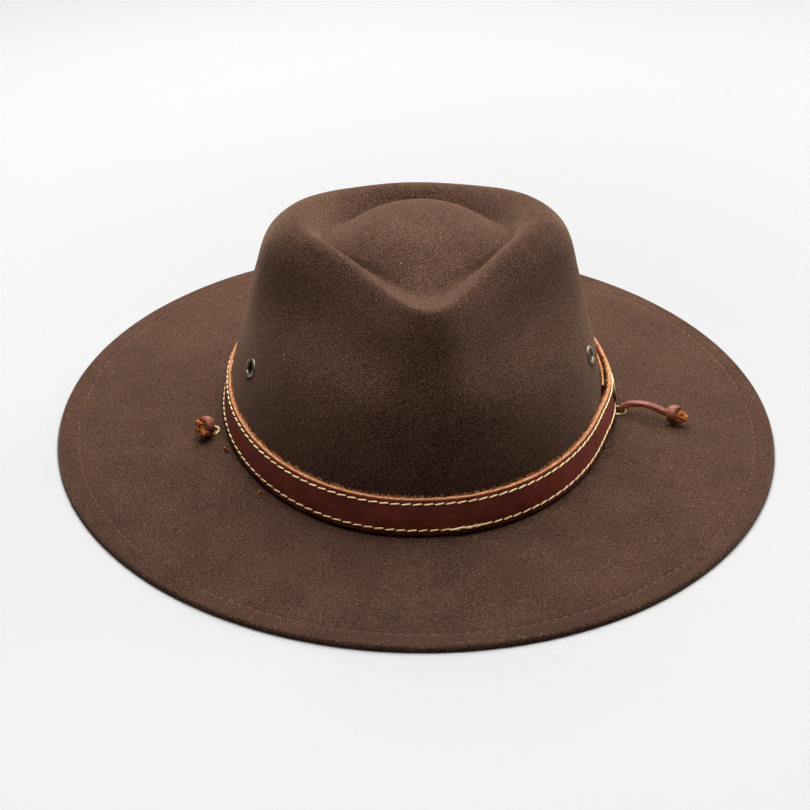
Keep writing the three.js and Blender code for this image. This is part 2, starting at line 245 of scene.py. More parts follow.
def thong_rings(path, rough, seed, half_width=LACE_HALF_WIDTH, up=None, centre=None):
    """Square-cut sections along a path, the grain side towards up or away from a centre, the rest torn."""
    chance = random.Random(seed)
    corners = []
    for i in range(THONG_CORNERS):
        around = (i + 0.5) / THONG_CORNERS * 2 * math.pi
        reach = (abs(math.cos(around)) ** THONG_SQUARENESS
                 + abs(math.sin(around)) ** THONG_SQUARENESS) ** (-1 / THONG_SQUARENESS)
        corners.append((math.cos(around) * reach, math.sin(around) * reach))
    rings = []
    side = None
    grain_side = 0.9
    for i, point in enumerate(path):
        ahead = (path[min(i + 1, len(path) - 1)] - path[max(i - 1, 0)]).normalized()
        if centre:
            side = ahead.cross(point - centre)
        elif side is None:
            side = ahead.cross(up)
        side = (side - ahead * side.dot(ahead)).normalized()
        top = side.cross(ahead).normalized()
        ring = []
        for x, y in corners:
            ragged = 0 if y > grain_side else chance.uniform(-rough, rough)
            out = side * (x * half_width * MM) + top * (y * LACE_HALF_HEIGHT * MM)
            ring.append(point + out * (1 + ragged))
        rings.append(ring)
    return rings


route = [Vector(p) * MM for p in LACE_ROUTE]
places = [i / LACE_SAMPLES_PER_SPAN for i in range((len(route) - 1) * LACE_SAMPLES_PER_SPAN + 1)]
lace_path = [Vector(p) for p in curve_points(route, places)]
lace = skin("lace", thong_rings(lace_path[::-1], LACE_ROUGHNESS, 3, up=Vector((0, 0, 1))))

# Latigo leather lace: drum-dyed red-brown grain side, waxed, so it has a soft shine.
lace_grain, tree, shader = finish_named("latigo_lace_grain", Roughness=0.55, IOR=1.5, Specular_IOR_Level=0.3)
where = node(tree, "ShaderNodeTexCoord").outputs["Object"]
mottle = node(tree, "ShaderNodeTexNoise", {"Vector": where, "Scale": 420.0, "Detail": 4.0})
tone = node(tree, "ShaderNodeValToRGB", {"Fac": mottle.outputs["Fac"]})
tone.color_ramp.elements[0].position = 0.35
tone.color_ramp.elements[0].color = linear("#5f2d24")
tone.color_ramp.elements[1].position = 0.7
tone.color_ramp.elements[1].color = linear("#854c3d")
tree.links.new(tone.outputs["Color"], shader.inputs["Base Color"])
pores = node(tree, "ShaderNodeTexNoise", {"Vector": where, "Scale": 1500.0, "Detail": 2.0})
relief = node(tree, "ShaderNodeBump", {"Height": pores.outputs["Fac"], "Strength": 0.3,
                                      "Distance": 0.15 * MM})
tree.links.new(relief.outputs["Normal"], shader.inputs["Normal"])

# The lace's cut sides and flesh side: undyed fibres stained orange-tan, fuzzy and quite matt.
lace_flesh, tree, shader = finish_named("latigo_lace_flesh", Roughness=0.9, IOR=1.5, Specular_IOR_Level=0.2)
where = node(tree, "ShaderNodeTexCoord").outputs["Object"]
fibres = node(tree, "ShaderNodeTexNoise", {"Vector": where, "Scale": 900.0, "Detail": 6.0, "Roughness": 0.7})
tone = node(tree, "ShaderNodeValToRGB", {"Fac": fibres.outputs["Fac"]})
tone.color_ramp.elements[0].position = 0.38
tone.color_ramp.elements[0].color = linear("#512616")
tone.color_ramp.elements[1].position = 0.62
tone.color_ramp.elements[1].color = linear("#b96e38")
tree.links.new(tone.outputs["Color"], shader.inputs["Base Color"])
relief = node(tree, "ShaderNodeBump", {"Height": fibres.outputs["Fac"], "Strength": 0.8,
                                      "Distance": 0.4 * MM})
tree.links.new(relief.outputs["Normal"], shader.inputs["Normal"])


def dress_thong(piece):
    """Grain on the side that faces up, flesh on the other three."""
    piece.data.materials.append(lace_grain)
    piece.data.materials.append(lace_flesh)
    paint_columns(piece, lambda across: 0 if 0.125 < across < 0.375 else 1)


dress_thong(lace)
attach(lace, "root")
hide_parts("chin_lace")


# The lace's two knots: an overhand knot pulled tight at each end. What shows is its outer turn, with
# the grain side out, and the torn flesh of the cut end and of the turn that it passes under.
KNOT_RADIUS = 2.55
KNOT_HALF_WIDTH = 2.1
KNOTS = [
    dict(name="knot_left", cad_node="lace_knot_left", centre=(119.2, -17.6, 12.6), axis=(0.85, -0.7, 0.05),
         first=200, seed=11, ends=[
             dict(to=(5.4, -3.0, -0.9), width=1.7, back=(-0.2, 0.5, -1)),
             dict(to=(3.4, -3.4, -2.6), width=1.9, back=(-0.4, 0.8, -0.6)),
             dict(to=(2.6, -3.2, 0.8), width=1.2, back=(-0.5, 1, 0))]),
    dict(name="knot_right", cad_node="lace_knot_right", centre=(-97.3, -18.8, 15.1),
         axis=(-0.85, -0.5, 0.2), first=60, seed=5, ends=[
             dict(to=(-5.3, -1.2, 0.9), width=1.9, back=(0.2, 1, -0.3)),
             dict(to=(-0.6, -4.4, -3.3), width=2.1, back=(0.3, 0.6, -1)),
             dict(to=(-4.3, -2.6, -2.3), width=1.5, back=(0.4, 1, 0.3)),
             dict(to=(3.6, -1.4, -3.2), width=1.3, back=(0, 0.7, -1))]),
]
KNOT_TURN = 470
KNOT_STEPS = 33
KNOT_SWELLING = 0.55
KNOT_START = -1.3
KNOT_CLIMB = 1.7
KNOT_ROUGHNESS = 0.14
END_ROUGHNESS = 0.42
END_ARCH = 0.9
END_STEPS = (0, 0.25, 0.45, 0.6, 0.7, 0.78, 0.86, 0.93, 1)


def joined(pieces):
    """One object of all the pieces."""
    bpy.ops.object.select_all(action="DESELECT")
    for piece in pieces:
        piece.select_set(True)
    bpy.context.view_layer.objects.active = pieces[0]
    bpy.ops.object.join()
    return pieces[0]


for knot in KNOTS:
    toward = Vector(knot["axis"]).normalized()
    centre = Vector(knot["centre"]) * MM
    placing = Matrix.Translation(centre) @ toward.to_track_quat("Z", "Y").to_matrix().to_4x4()
    turn_points = []
    for i in range(KNOT_STEPS + 1):
        share = i / KNOT_STEPS
        angle = math.radians(knot["first"] + KNOT_TURN * share)
        radius = KNOT_RADIUS + KNOT_SWELLING * share
        turn_points.append(placing @ (Vector((math.cos(angle) * radius, math.sin(angle) * radius,
                                             KNOT_START + KNOT_CLIMB * share)) * MM))
    pieces = [skin(knot["name"], thong_rings(turn_points, KNOT_ROUGHNESS, knot["seed"], KNOT_HALF_WIDTH,
                                             centre=centre))]
    for i, end in enumerate(knot["ends"]):
        offset = Vector(end["to"]) * MM
        path = [centre + offset * share + toward * (END_ARCH * MM * math.sin(share * math.pi))
                for share in END_STEPS]
        flap = skin(knot["name"], thong_rings(path, END_ROUGHNESS, knot["seed"] + 1 + i, end["width"],
                                              up=Vector(end["back"])))
        pieces.append(flap)
    for piece in pieces:
        dress_thong(piece)
    whole = joined(pieces)
    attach(whole, "root")
    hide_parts(knot["cad_node"])


# Crown and brim: one piece of wool felt, 2.4 mm thick, steamed and pressed over a block. Each row is
# an oval of its outer face, from the brim's cut edge to the middle of the dome. Sizes are in mm, and
# front_x is how far the oval's front end lies off to one side, because the real crown is a little askew.
FELT_ROWS = [
    dict(name="brim_edge", side=166.6, front=184.2, back=184.2, mid_x=0, mid_y=0,
         z_side=2.4, z_front=2.4, z_back=2.4, point=2, round=2, steps=0),
    dict(name="brim_middle", side=128, front=144.5, back=147, mid_x=0, mid_y=1.5,
         z_side=7, z_front=2.9, z_back=5.8, point=2.03, round=2.03, steps=10),
    dict(name="brim_root", side=91.6, front=103.4, back=110.8, mid_x=-0.4, mid_y=3.7, front_x=-0.6,
         z_side=9.9, z_front=2.8, z_back=7.7, point=2.07, round=2.1, steps=2),
    dict(name="root_curve", side=88.8, front=100.5, back=107.9, mid_x=0.3, mid_y=3.7, front_x=-1.2,
         z_side=10.6, z_front=3.2, z_back=8.3, point=2.07, round=2.12, steps=2),
    dict(name="band_low", side=87.8, front=99.5, back=106.9, mid_x=0.6, mid_y=3.7, front_x=-1.3,
         z_side=11.9, z_front=4.1, z_back=9.6, point=2.09, round=2.12, steps=4),
    dict(name="band_high", side=85.2, front=97.6, back=105, mid_x=0.6, mid_y=3.7, front_x=-1.3,
         z_side=27.4, z_front=21.2, z_back=26, point=2.09, round=2.12, steps=6),
    dict(name="wall_low", side=82.2, front=93.3, back=102.2, mid_x=0.4, mid_y=3.7, front_x=-0.6,
         z_side=45, z_front=40, z_back=42, point=1.9, round=2.12, steps=6),
    dict(name="wall_dent", side=77.8, front=88.3, back=98.2, mid_x=0.6, mid_y=4.7,
         z_side=60, z_front=57, z_back=56, point=1.6, round=2.12, steps=6),
    dict(name="wall_high", side=74.2, front=81.3, back=90.7, mid_x=0.8, mid_y=5.7,
         z_side=77, z_front=73, z_back=71, point=1.12, round=2.12, steps=8),
    dict(name="shoulder", side=67.7, front=74.8, back=76.7, mid_x=1.1, mid_y=6.7,
         z_side=97.5, z_front=89.6, z_back=87.5, point=1, round=1.92, steps=8),
    dict(name="ridge", side=55, front=70.3, back=64.7, mid_x=1.1, mid_y=6.7,
         z_side=106, z_front=96.8, z_back=95.5, point=1, round=1.85, steps=6),
    dict(name="ridge_inside", side=47.5, front=63.3, back=55.7, mid_x=1.2, mid_y=5.7,
         z_side=102, z_front=96, z_back=90, point=1, round=1.85, steps=4),
    dict(name="valley", side=42.5, front=52.3, back=47.7, mid_x=1.4, mid_y=4.7,
         z_side=96, z_front=95.3, z_back=83, point=1.1, round=1.9, steps=6),
    dict(name="dome_foot", side=37.3, front=39.3, back=40.7, mid_x=1.6, mid_y=3.7,
         z_side=98.5, z_front=99.5, z_back=91, point=1.4, round=2, steps=6),
    dict(name="dome_side", side=23, front=21.3, back=25.7, mid_x=1.6, mid_y=3.7,
         z_side=106, z_front=105.5, z_back=105.5, point=1.85, round=2, steps=6),
]
DOME_TOP = (1.6, 3.7, 109)
CORNER_SOFTNESS = 0.2
SIDE_LIFT_POWER = 2.5
FELT_THICKNESS = 2.4
REST_WIDTH = 2.5
FELT_COLUMNS = 180
SEAM_INSET = 9.4
SEAM_DEPTH = 0.22
EDGE_RADIUS = 1.5
# Where rings stand on the outer brim, in mm in from its cut edge, closer together at the seam.
BRIM_RINGS = [0.06, 0.25, 0.55, 1, 1.5, 2.5, 4, 6, 8, 8.8, 9.4, 10, 10.8, 12, 14, 17, 20, 24, 28, 32, 36]
BRIM_SPAN = 38.7
# The hand of the presser: how deep and how long the soft unevenness of the felt is.
UNEVENNESS = 0.25
UNEVENNESS_LENGTH = 26
# How far in the brim becomes uneven in full, and where its underside begins.
UNEVEN_FROM = 8
UNDERSIDE_FROM = 5
SEAM_GROOVE_HALF_WIDTH = 0.7
DOME_LEVELS = [14.55, 14.8, 15]
# The cut edge below its rounding: shares of the brim's size and heights.
CUT_EDGE = [(1, 0.6), (0.9994, 0.2), (0.998, 0)]


def softened(value, power):
    """Powers under 2 give an oval with corners, and this rounds them."""
    softness = CORNER_SOFTNESS * max(0, 2 - power)
    return (np.hypot(value, softness) - softness) / (math.hypot(1, softness) - softness)


def row_oval(row, angles):
    """A row's oval at angles, where 0 is the front and a quarter turn the left."""
    across, along = np.sin(angles), -np.cos(angles)
    front = along < 0
    reach = np.where(front, (softened(across, row["point"]) ** row["point"]
                             + softened(along, row["point"]) ** row["point"]) ** (-1 / row["point"]),
                     (softened(across, row["round"]) ** row["round"]
                      + softened(along, row["round"]) ** row["round"]) ** (-1 / row["round"]))
    length = np.where(front, row["front"] + row["mid_y"], row["back"] - row["mid_y"])
    end = np.where(front, row["z_front"], row["z_back"])
    height = end + (row["z_side"] - end) * np.abs(across) ** SIDE_LIFT_POWER
    askew = row.get("front_x", 0) * np.maximum(0, -along)
    return np.stack([row["mid_x"] + askew + row["side"] * reach * across,
                     row["mid_y"] + length * reach * along, height], axis=-1)


def felt_grid(angles, levels):
    """Outer face points, one ring for each level, in mm."""
    knots = [row_oval(row, angles) for row in FELT_ROWS]
    knots.append(np.broadcast_to(np.array(DOME_TOP, float), knots[0].shape))
    return curve_points(np.stack(knots, axis=1), levels)


def felt_place(angle, level):
    """A point of the outer face, in mm, and the way out of it."""
    nearby = 0.02
    grid = felt_grid(np.array([angle - nearby, angle, angle + nearby]),
                     [level - nearby, level, level + nearby])
    out = Vector(grid[1, 2] - grid[1, 0]).cross(Vector(grid[2, 1] - grid[0, 1]))
    return Vector(grid[1, 1]), out.normalized()


def felt_rings():
    """All of the felt's rings in metres: dome to edge outside, then edge to dome inside."""
    angles = np.arange(FELT_COLUMNS) / FELT_COLUMNS * 2 * math.pi
    levels = [inset / BRIM_SPAN for inset in BRIM_RINGS]
    for index, row in enumerate(FELT_ROWS):
        levels += [index + i / row["steps"] for i in range(row["steps"])]
    levels += DOME_LEVELS
    levels = sorted(set(levels))
    outer = felt_grid(angles, levels)
    around = np.roll(outer, -1, axis=1) - np.roll(outer, 1, axis=1)
    upward = np.gradient(outer, axis=0)
    out = np.cross(around, upward)
    size = np.linalg.norm(out, axis=-1, keepdims=True)
    out = np.where(size > 1e-6, out / np.maximum(size, 1e-9), np.array([0, 0, 1.0]))
    inner = outer - out * FELT_THICKNESS
    for ring, level in enumerate(levels):
        inset = level * BRIM_SPAN
        groove = SEAM_DEPTH * math.exp(-((inset - SEAM_INSET) / SEAM_GROOVE_HALF_WIDTH) ** 2)
        for column in range(FELT_COLUMNS):
            soft = noise.noise(Vector(outer[ring, column]) / UNEVENNESS_LENGTH) * UNEVENNESS
            outer[ring, column] += out[ring, column] * (soft * min(1, inset / UNEVEN_FROM) - groove)
        from_round = max(0, EDGE_RADIUS - inset)
        outer[ring, :, 2] -= EDGE_RADIUS - math.sqrt(EDGE_RADIUS ** 2 - from_round ** 2)
    outer[-1] = DOME_TOP
    inner[-1] = (DOME_TOP[0], DOME_TOP[1], DOME_TOP[2] - FELT_THICKNESS)
    edge = row_oval(FELT_ROWS[0], angles)
    rings = list(outer[::-1])
    for share, height in CUT_EDGE:
        ring = edge * [share, share, 0]
        ring[:, 2] = height
        rings.append(ring)
    rest = dict(FELT_ROWS[0])
    for field in ("side", "front", "back"):
        rest[field] -= REST_WIDTH
    ring = row_oval(rest, angles)
    ring[:, 2] = 0
    rings.append(ring)
    rings += [ring for ring, level in zip(inner, levels) if level * BRIM_SPAN > UNDERSIDE_FROM]
    return [[Vector(p) * MM for p in ring] for ring in rings]


felt = skin("felt_hat", felt_rings(), capped=False)

EYELET_HOLE = 3.6
PUNCH_DEPTH = 14
EYELETS = [
    ("eyelet_crown_left", "crown_eyelet_left", 73, 6.26, "nickel"),
    ("eyelet_crown_right", "crown_eyelet_right", -71.5, 6.25, "nickel"),
    ("eyelet_brim_left", "brim_eyelet_left", 84.4, 1.85, "brass"),
    ("eyelet_brim_right", "brim_eyelet_right", -81, 1.81, "brass"),
]
for _, _, angle, level, _ in EYELETS:
    spot, out = felt_place(math.radians(angle), level)
    bpy.ops.mesh.primitive_cylinder_add(vertices=32, radius=EYELET_HOLE * MM, depth=PUNCH_DEPTH * MM,
                                        location=spot * MM, rotation=out.to_track_quat("Z", "Y").to_euler())
    punch = bpy.context.object
    bpy.context.view_layer.objects.active = felt
    cut = felt.modifiers.new("punch", "BOOLEAN")
    cut.operation = "DIFFERENCE"
    cut.object = punch
    cut.solver = "EXACT"
    bpy.ops.object.modifier_apply(modifier=cut.name)
    bpy.data.objects.remove(punch)

# Wool felt: dyed fibres matted and shaved, so it is matt, speckled and lighter at grazing angles.
# Its real fibres are too fine to show, so the speckle is drawn at about half a millimetre.
wool, tree, shader = finish_named("wool_felt_brown", Roughness=0.95, Specular_IOR_Level=0.06,
                                  Sheen_Weight=0.3, Sheen_Roughness=0.4)
shader.inputs["Sheen Tint"].default_value = linear("#d8b193")
where = node(tree, "ShaderNodeTexCoord").outputs["Object"]
speckle = node(tree, "ShaderNodeTexNoise", {"Vector": where, "Scale": 1600.0, "Detail": 2.0,
                                           "Roughness": 0.8})
cloud = node(tree, "ShaderNodeTexNoise", {"Vector": where, "Scale": 45.0, "Detail": 3.0, "Roughness": 0.5})
mixed = node(tree, "ShaderNodeMix", {"Factor": 0.1, "A": speckle.outputs["Fac"], "B": cloud.outputs["Fac"]})
tone = node(tree, "ShaderNodeValToRGB", {"Fac": mixed.outputs["Result"]})
tone.color_ramp.elements[0].position = 0.38
tone.color_ramp.elements[0].color = linear("#110a07")
tone.color_ramp.elements[1].position = 0.56
tone.color_ramp.elements[1].color = linear("#493227")
tone.color_ramp.elements.new(0.7).color = linear("#6c5140")
# Lint: one pale speck in some of the cells of a pattern that are about 7 mm wide.
lint = node(tree, "ShaderNodeTexVoronoi", {"Vector": where, "Scale": 150.0, "Randomness": 1.0})
small = node(tree, "ShaderNodeMath", {0: lint.outputs["Distance"], 1: 0.035}, operation="LESS_THAN")
some = node(tree, "ShaderNodeSeparateColor", {"Color": lint.outputs["Color"]})
chosen = node(tree, "ShaderNodeMath", {0: some.outputs["Red"], 1: 0.6}, operation="GREATER_THAN")
speck = node(tree, "ShaderNodeMath", {0: small.outputs[0], 1: chosen.outputs[0]}, operation="MULTIPLY")
linted = node(tree, "ShaderNodeMix", {"Factor": speck.outputs[0], "A": tone.outputs["Color"],
                                     "B": linear("#a38c76")}, data_type="RGBA")
tree.links.new(linted.outputs["Result"], shader.inputs["Base Color"])
relief = node(tree, "ShaderNodeBump", {"Height": mixed.outputs["Result"], "Strength": 0.8,
                                      "Distance": 0.6 * MM})
tree.links.new(relief.outputs["Normal"], shader.inputs["Normal"])
felt.data.materials.append(wool)
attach(felt, "root")
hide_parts("felt_body")


# The seam round the brim's edge: one row of thin rust-brown thread that has sunk into the felt.
SEAM_PITCH = 4.7
SEAM_STITCH = 2.0
SEAM_THREAD = 0.19
SEAM_SUNK = SEAM_DEPTH + 0.04
# A stitch: the straight share of its length, then how far and how narrow its ends go on.
STITCH_STRAIGHT = 0.6
STITCH_TIPS = ((0.13, 0.82), (0.07, 0.5))


def stitch_row(name, spots, length, radius):
    """One stitch modelled once, and its mesh set at each spot, as long as the spot's direction is."""
    bpy.ops.object.select_all(action="DESELECT")
    bpy.ops.mesh.primitive_cylinder_add(vertices=8, radius=radius * MM, depth=STITCH_STRAIGHT * length * MM,
                                        rotation=(0, math.radians(90), 0))
    first = bpy.context.object
    first.name = name
    bpy.ops.object.transform_apply(location=False, rotation=True, scale=True)
    bpy.ops.object.mode_set(mode="EDIT")
    bpy.ops.mesh.select_mode(type="FACE")
    bpy.ops.mesh.select_all(action="DESELECT")
    bpy.ops.object.mode_set(mode="OBJECT")
    for face in first.data.polygons:
        face.select = abs(face.normal.x) > 0.9
    bpy.ops.object.mode_set(mode="EDIT")
    for reach, narrowing in STITCH_TIPS:
        bpy.ops.mesh.extrude_faces_move(TRANSFORM_OT_shrink_fatten={"value": reach * length * MM})
        bpy.ops.transform.resize(value=(1, narrowing, narrowing))
    bpy.ops.object.mode_set(mode="OBJECT")
    bpy.ops.object.shade_smooth()
    copies = []
    for _ in spots[1:]:
        copy = bpy.data.objects.new(name, first.data.copy())
        bpy.context.scene.collection.objects.link(copy)
        copies.append(copy)
    for piece, (place, along, out) in zip([first] + copies, spots):
        side = out.cross(along).normalized()
        up = along.cross(side).normalized()
        turn_matrix = Matrix((along, side, up)).transposed().to_4x4()
        piece.data.transform(Matrix.Translation(place) @ turn_matrix)
        piece.select_set(True)
    bpy.context.view_layer.objects.active = first
    bpy.ops.object.join()
    return first


def felt_spots(level, pitch, sunk):
    """Places evenly along a ring of the felt, each with its direction and the way out."""
    samples = 720
    turns = np.arange(samples) / samples * 2 * math.pi
    ring = felt_grid(turns, [level])[0]
    closed = np.concatenate([ring, ring[:1]])
    run = np.concatenate([[0], np.cumsum(np.linalg.norm(np.diff(closed, axis=0), axis=1))])
    count = round(run[-1] / pitch)
    spots = []
    for i in range(count):
        angle = np.interp(i / count * run[-1], run, np.append(turns, 2 * math.pi))
        spot, out = felt_place(angle, level)
        ahead, _ = felt_place(angle + 0.005, level)
        along = (ahead - spot).normalized()
        spots.append(((spot - out * sunk) * MM, along, out))
    return spots


seam = stitch_row("brim_seam", felt_spots(SEAM_INSET / BRIM_SPAN, SEAM_PITCH, SEAM_SUNK),
                  SEAM_STITCH, SEAM_THREAD)
# Rust-brown sewing thread: spun polyester, dull.
thread, tree, shader = finish_named("polyester_thread_rust", Roughness=0.7, IOR=1.5)
shader.inputs["Base Color"].default_value = linear("#74412f")
seam.data.materials.append(thread)
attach(seam, "root")


# Eyelets: two-part rolled brass pressed through the felt, a flange outside and a washer inside.
# The crown's are nickel-plated and dull, and the brim's are bare brass gone pale.

# A section through the rolled metal, as distances from the eyelet's middle and out of the felt.
EYELET_PROFILE = [
    (2.75, -3.25), (4.4, -3.25), (4.5, -3.05), (4.4, -2.85), (3.3, -2.85), (3.3, 0.1), (4.5, 0.1),
    (4.62, 0.22), (4.52, 0.45), (4.25, 0.68), (3.85, 0.82), (3.4, 0.8), (3.02, 0.62), (2.8, 0.3),
    (2.75, -0.1), (2.75, -3.25),
]
EYELET_SIDES = 40


def metal_finish(name, light, dark, rough):
    """A plated or bare metal with a cloudy tarnish that also dulls its shine."""
    material, tree, shader = finish_named(name, Metallic=1.0)
    where = node(tree, "ShaderNodeTexCoord").outputs["Object"]
    cloud = node(tree, "ShaderNodeTexNoise", {"Vector": where, "Scale": 260.0, "Detail": 4.0})
    tone = node(tree, "ShaderNodeValToRGB", {"Fac": cloud.outputs["Fac"]})
    tone.color_ramp.elements[0].position = 0.35
    tone.color_ramp.elements[0].color = linear(dark)
    tone.color_ramp.elements[1].position = 0.6
    tone.color_ramp.elements[1].color = linear(light)
    tree.links.new(tone.outputs["Color"], shader.inputs["Base Color"])
    dull = node(tree, "ShaderNodeMapRange", {"Value": cloud.outputs["Fac"], "To Min": rough + 0.15,
                                            "To Max": rough - 0.1})
    tree.links.new(dull.outputs["Result"], shader.inputs["Roughness"])
    return material


# Bare brass that has tarnished pale in the air, and nickel plating that has gone grey-green.
bare_brass = metal_finish("brass_tarnished", "#a89a6e", "#6a5d3f", 0.45)
dull_nickel = metal_finish("nickel_antique", "#988c78", "#52493b", 0.38)
for name, cad_node, angle, level, metal in EYELETS:
    spot, out = felt_place(math.radians(angle), level)
    placing = Matrix.Translation(spot * MM) @ out.to_track_quat("Z", "Y").to_matrix().to_4x4()
    rings = []
    for radius, height in EYELET_PROFILE:
        rings.append([placing @ (Vector((math.cos(a) * radius, math.sin(a) * radius, height)) * MM)
                      for a in (i / EYELET_SIDES * 2 * math.pi for i in range(EYELET_SIDES))])
    eyelet = skin(name, rings, capped=False)
    eyelet.data.materials.append(bare_brass if metal == "brass" else dull_nickel)
    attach(eyelet, "root")
    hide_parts(cad_node)


# Stray hairs caught on the felt, most of them at the front edge of the brim, and crumbs of raw leather
# that have come off the band and lie beside it on the wearer's right.
HAIR_GROUPS = [
    dict(angle=(2, 14), level=(0.02, 0.1), count=11),
    dict(angle=(-30, -6), level=(0.02, 0.1), count=4),
    dict(angle=(-180, 180), level=(0.2, 1.7), count=16),
]
HAIR_RADIUS = 0.05
HAIR_STEP = 0.35
HAIR_STEPS = 10
HAIR_LIFT = 0.2
HAIR_WAVER = 0.35
HAIR_RISE = (-0.03, 0.06)
# Each crumb's angle round the hat, level on the felt and number of steps.
CRUMBS = [(-50.5, 1.93, 9), (-70, 1.99, 4), (-71.5, 1.96, 3)]
CRUMB_HALF_WIDTH = 0.35
CRUMB_ROUGHNESS = 0.3
CRUMB_BEND = 0.4


def curl(angle, level, steps, bend, chance):
    """A wandering line of points just above the felt, in metres."""
    spot, out = felt_place(math.radians(angle), level)
    heading = Quaternion(out, chance.uniform(0, 6.28)) @ out.orthogonal().normalized()
    points = [(spot + out * HAIR_LIFT) * MM]
    for _ in range(steps):
        heading = Quaternion(out, chance.uniform(bend - HAIR_WAVER, bend + HAIR_WAVER)) @ heading
        points.append(points[-1] + (heading * HAIR_STEP + out * chance.uniform(*HAIR_RISE)) * MM)
    return points, out


chance = random.Random(17)
hairs = []
for group in HAIR_GROUPS:
    for _ in range(group["count"]):
        points, out = curl(chance.uniform(*group["angle"]), chance.uniform(*group["level"]), HAIR_STEPS,
                           chance.uniform(-0.5, 0.5), chance)
        rings = [[p + (Quaternion((b - a).normalized(), i * math.pi / 2) @ out) * (HAIR_RADIUS * MM)
                  for i in range(4)] for a, p, b in zip(points, points[1:], points[2:])]
        hairs.append(skin("stray_hairs", rings))
hair_piece = joined(hairs)
# Pale wool and animal hair: keratin, slightly shiny.
keratin, tree, shader = finish_named("hair_pale", Roughness=0.5, IOR=1.55)
shader.inputs["Base Color"].default_value = linear("#8e7862")
hair_piece.data.materials.append(keratin)
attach(hair_piece, "root")
crumbs = []
for angle, level, steps in CRUMBS:
    points, out = curl(angle, level, steps, CRUMB_BEND, chance)
    crumbs.append(skin("leather_crumbs", thong_rings(points, CRUMB_ROUGHNESS, steps, CRUMB_HALF_WIDTH,
                                                     up=out)))
crumb_piece = joined(crumbs)
crumb_piece.data.materials.append(lace_flesh)
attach(crumb_piece, "root")


# The hatband: one strip of chrome-tanned cowhide, 2.1 mm thick, cut raw on all its edges. It goes once
# round the crown, pared thin at its inner end, and laps over itself on the left.
STRAP_THICKNESS = 2.1
STRAP_INNER_THICKNESS = 1.3
STRAP_PARED_TURN = 60
STRAP_START = 80
STRAP_END = 475
STRAP_STEP = 1.25
# How far the strap stands off the felt at an angle in degrees, because of what it laps over.
STRAP_LAP = [(425, 0), (430, 0.5), (435, 1.6), (440, 2.5), (445, 2.7), (475, 2.6)]
FELT_GAP = 0.3
# The felt's rows that the strap's low and high edges lie on.
BAND_LOW = 4
BAND_HIGH = 5
# The strap's cross section, as shares of its thickness and height: the back, the raw top edge with a
# rounded grain side corner, the face with a groove for each row of stitches, and the raw bottom edge.
STRAP_SECTION = [
    (0, 0.08), (0, 0.3), (0, 0.5), (0, 0.7), (0, 0.93), (0.04, 0.985), (0.25, 1.0), (0.5, 1.005),
    (0.75, 1.0), (0.92, 0.992), (0.985, 0.975), (1, 0.94), (0.99, 0.905), (0.95, 0.88), (0.985, 0.85),
    (1.01, 0.78), (1.03, 0.6), (1.03, 0.4), (1.01, 0.24), (0.985, 0.17), (0.95, 0.145), (0.985, 0.115),
    (1, 0.07), (0.985, 0.025), (0.92, 0.006), (0.7, 0), (0.35, 0), (0.05, 0.012),
]


def strap_corners(angle):
    """Low and high points of the strap's inner face at an angle in degrees, the way out, in mm."""
    lift = np.interp(angle, [a for a, _ in STRAP_LAP], [h for _, h in STRAP_LAP])
    found = []
    for level in (BAND_LOW, BAND_HIGH):
        spot, out = felt_place(math.radians(angle), level)
        out = Vector((out.x, out.y, 0)).normalized()
        found.append((spot + out * (FELT_GAP + lift), out))
    pared = min(1, (angle - STRAP_START) / STRAP_PARED_TURN)
    thickness = STRAP_INNER_THICKNESS + (STRAP_THICKNESS - STRAP_INNER_THICKNESS) * pared
    return found, thickness


def strap_place(angle, height):
    """A point of the strap's face at a share of its height, its direction and the way out, in mm."""
    (low, high), thickness = strap_corners(angle)
    (low_next, high_next), _ = strap_corners(angle + 0.5)
    place = (low[0] + low[1] * thickness).lerp(high[0] + high[1] * thickness, height)
    along = (low_next[0].lerp(high_next[0], height) - low[0].lerp(high[0], height)).normalized()
    upward = (high[0] - low[0]).normalized()
    return place, along, along.cross(upward).normalized()


def strap_rings():
    """The strap's sections in metres, its raw top and bottom edges a little uneven."""
    chance = random.Random(8)
    inner_share = 0.8
    lowest = -0.012
    highest = 0.016
    count = round((STRAP_END - STRAP_START) / STRAP_STEP)
    rings = []
    for i in range(count + 1):
        (low, high), thickness = strap_corners(STRAP_START + i * STRAP_STEP)
        ring = []
        for across, height in STRAP_SECTION:
            rough = 0
            if across < inner_share and (height > 0.98 or height < 0.02):
                rough = chance.uniform(lowest, highest)
            base = low[0].lerp(high[0], height + rough)
            out = low[1].lerp(high[1], height)
            ring.append((base + out * (across * thickness)) * MM)
        rings.append(ring)
    return rings


strap = skin("leather_band", strap_rings())


def strap_slot(across):
    """0 for the face, 1 for the raw edges and back."""
    first_of_face = 9.5
    last_of_face = 24
    column = across * len(STRAP_SECTION)
    return 0 if first_of_face < column < last_of_face else 1


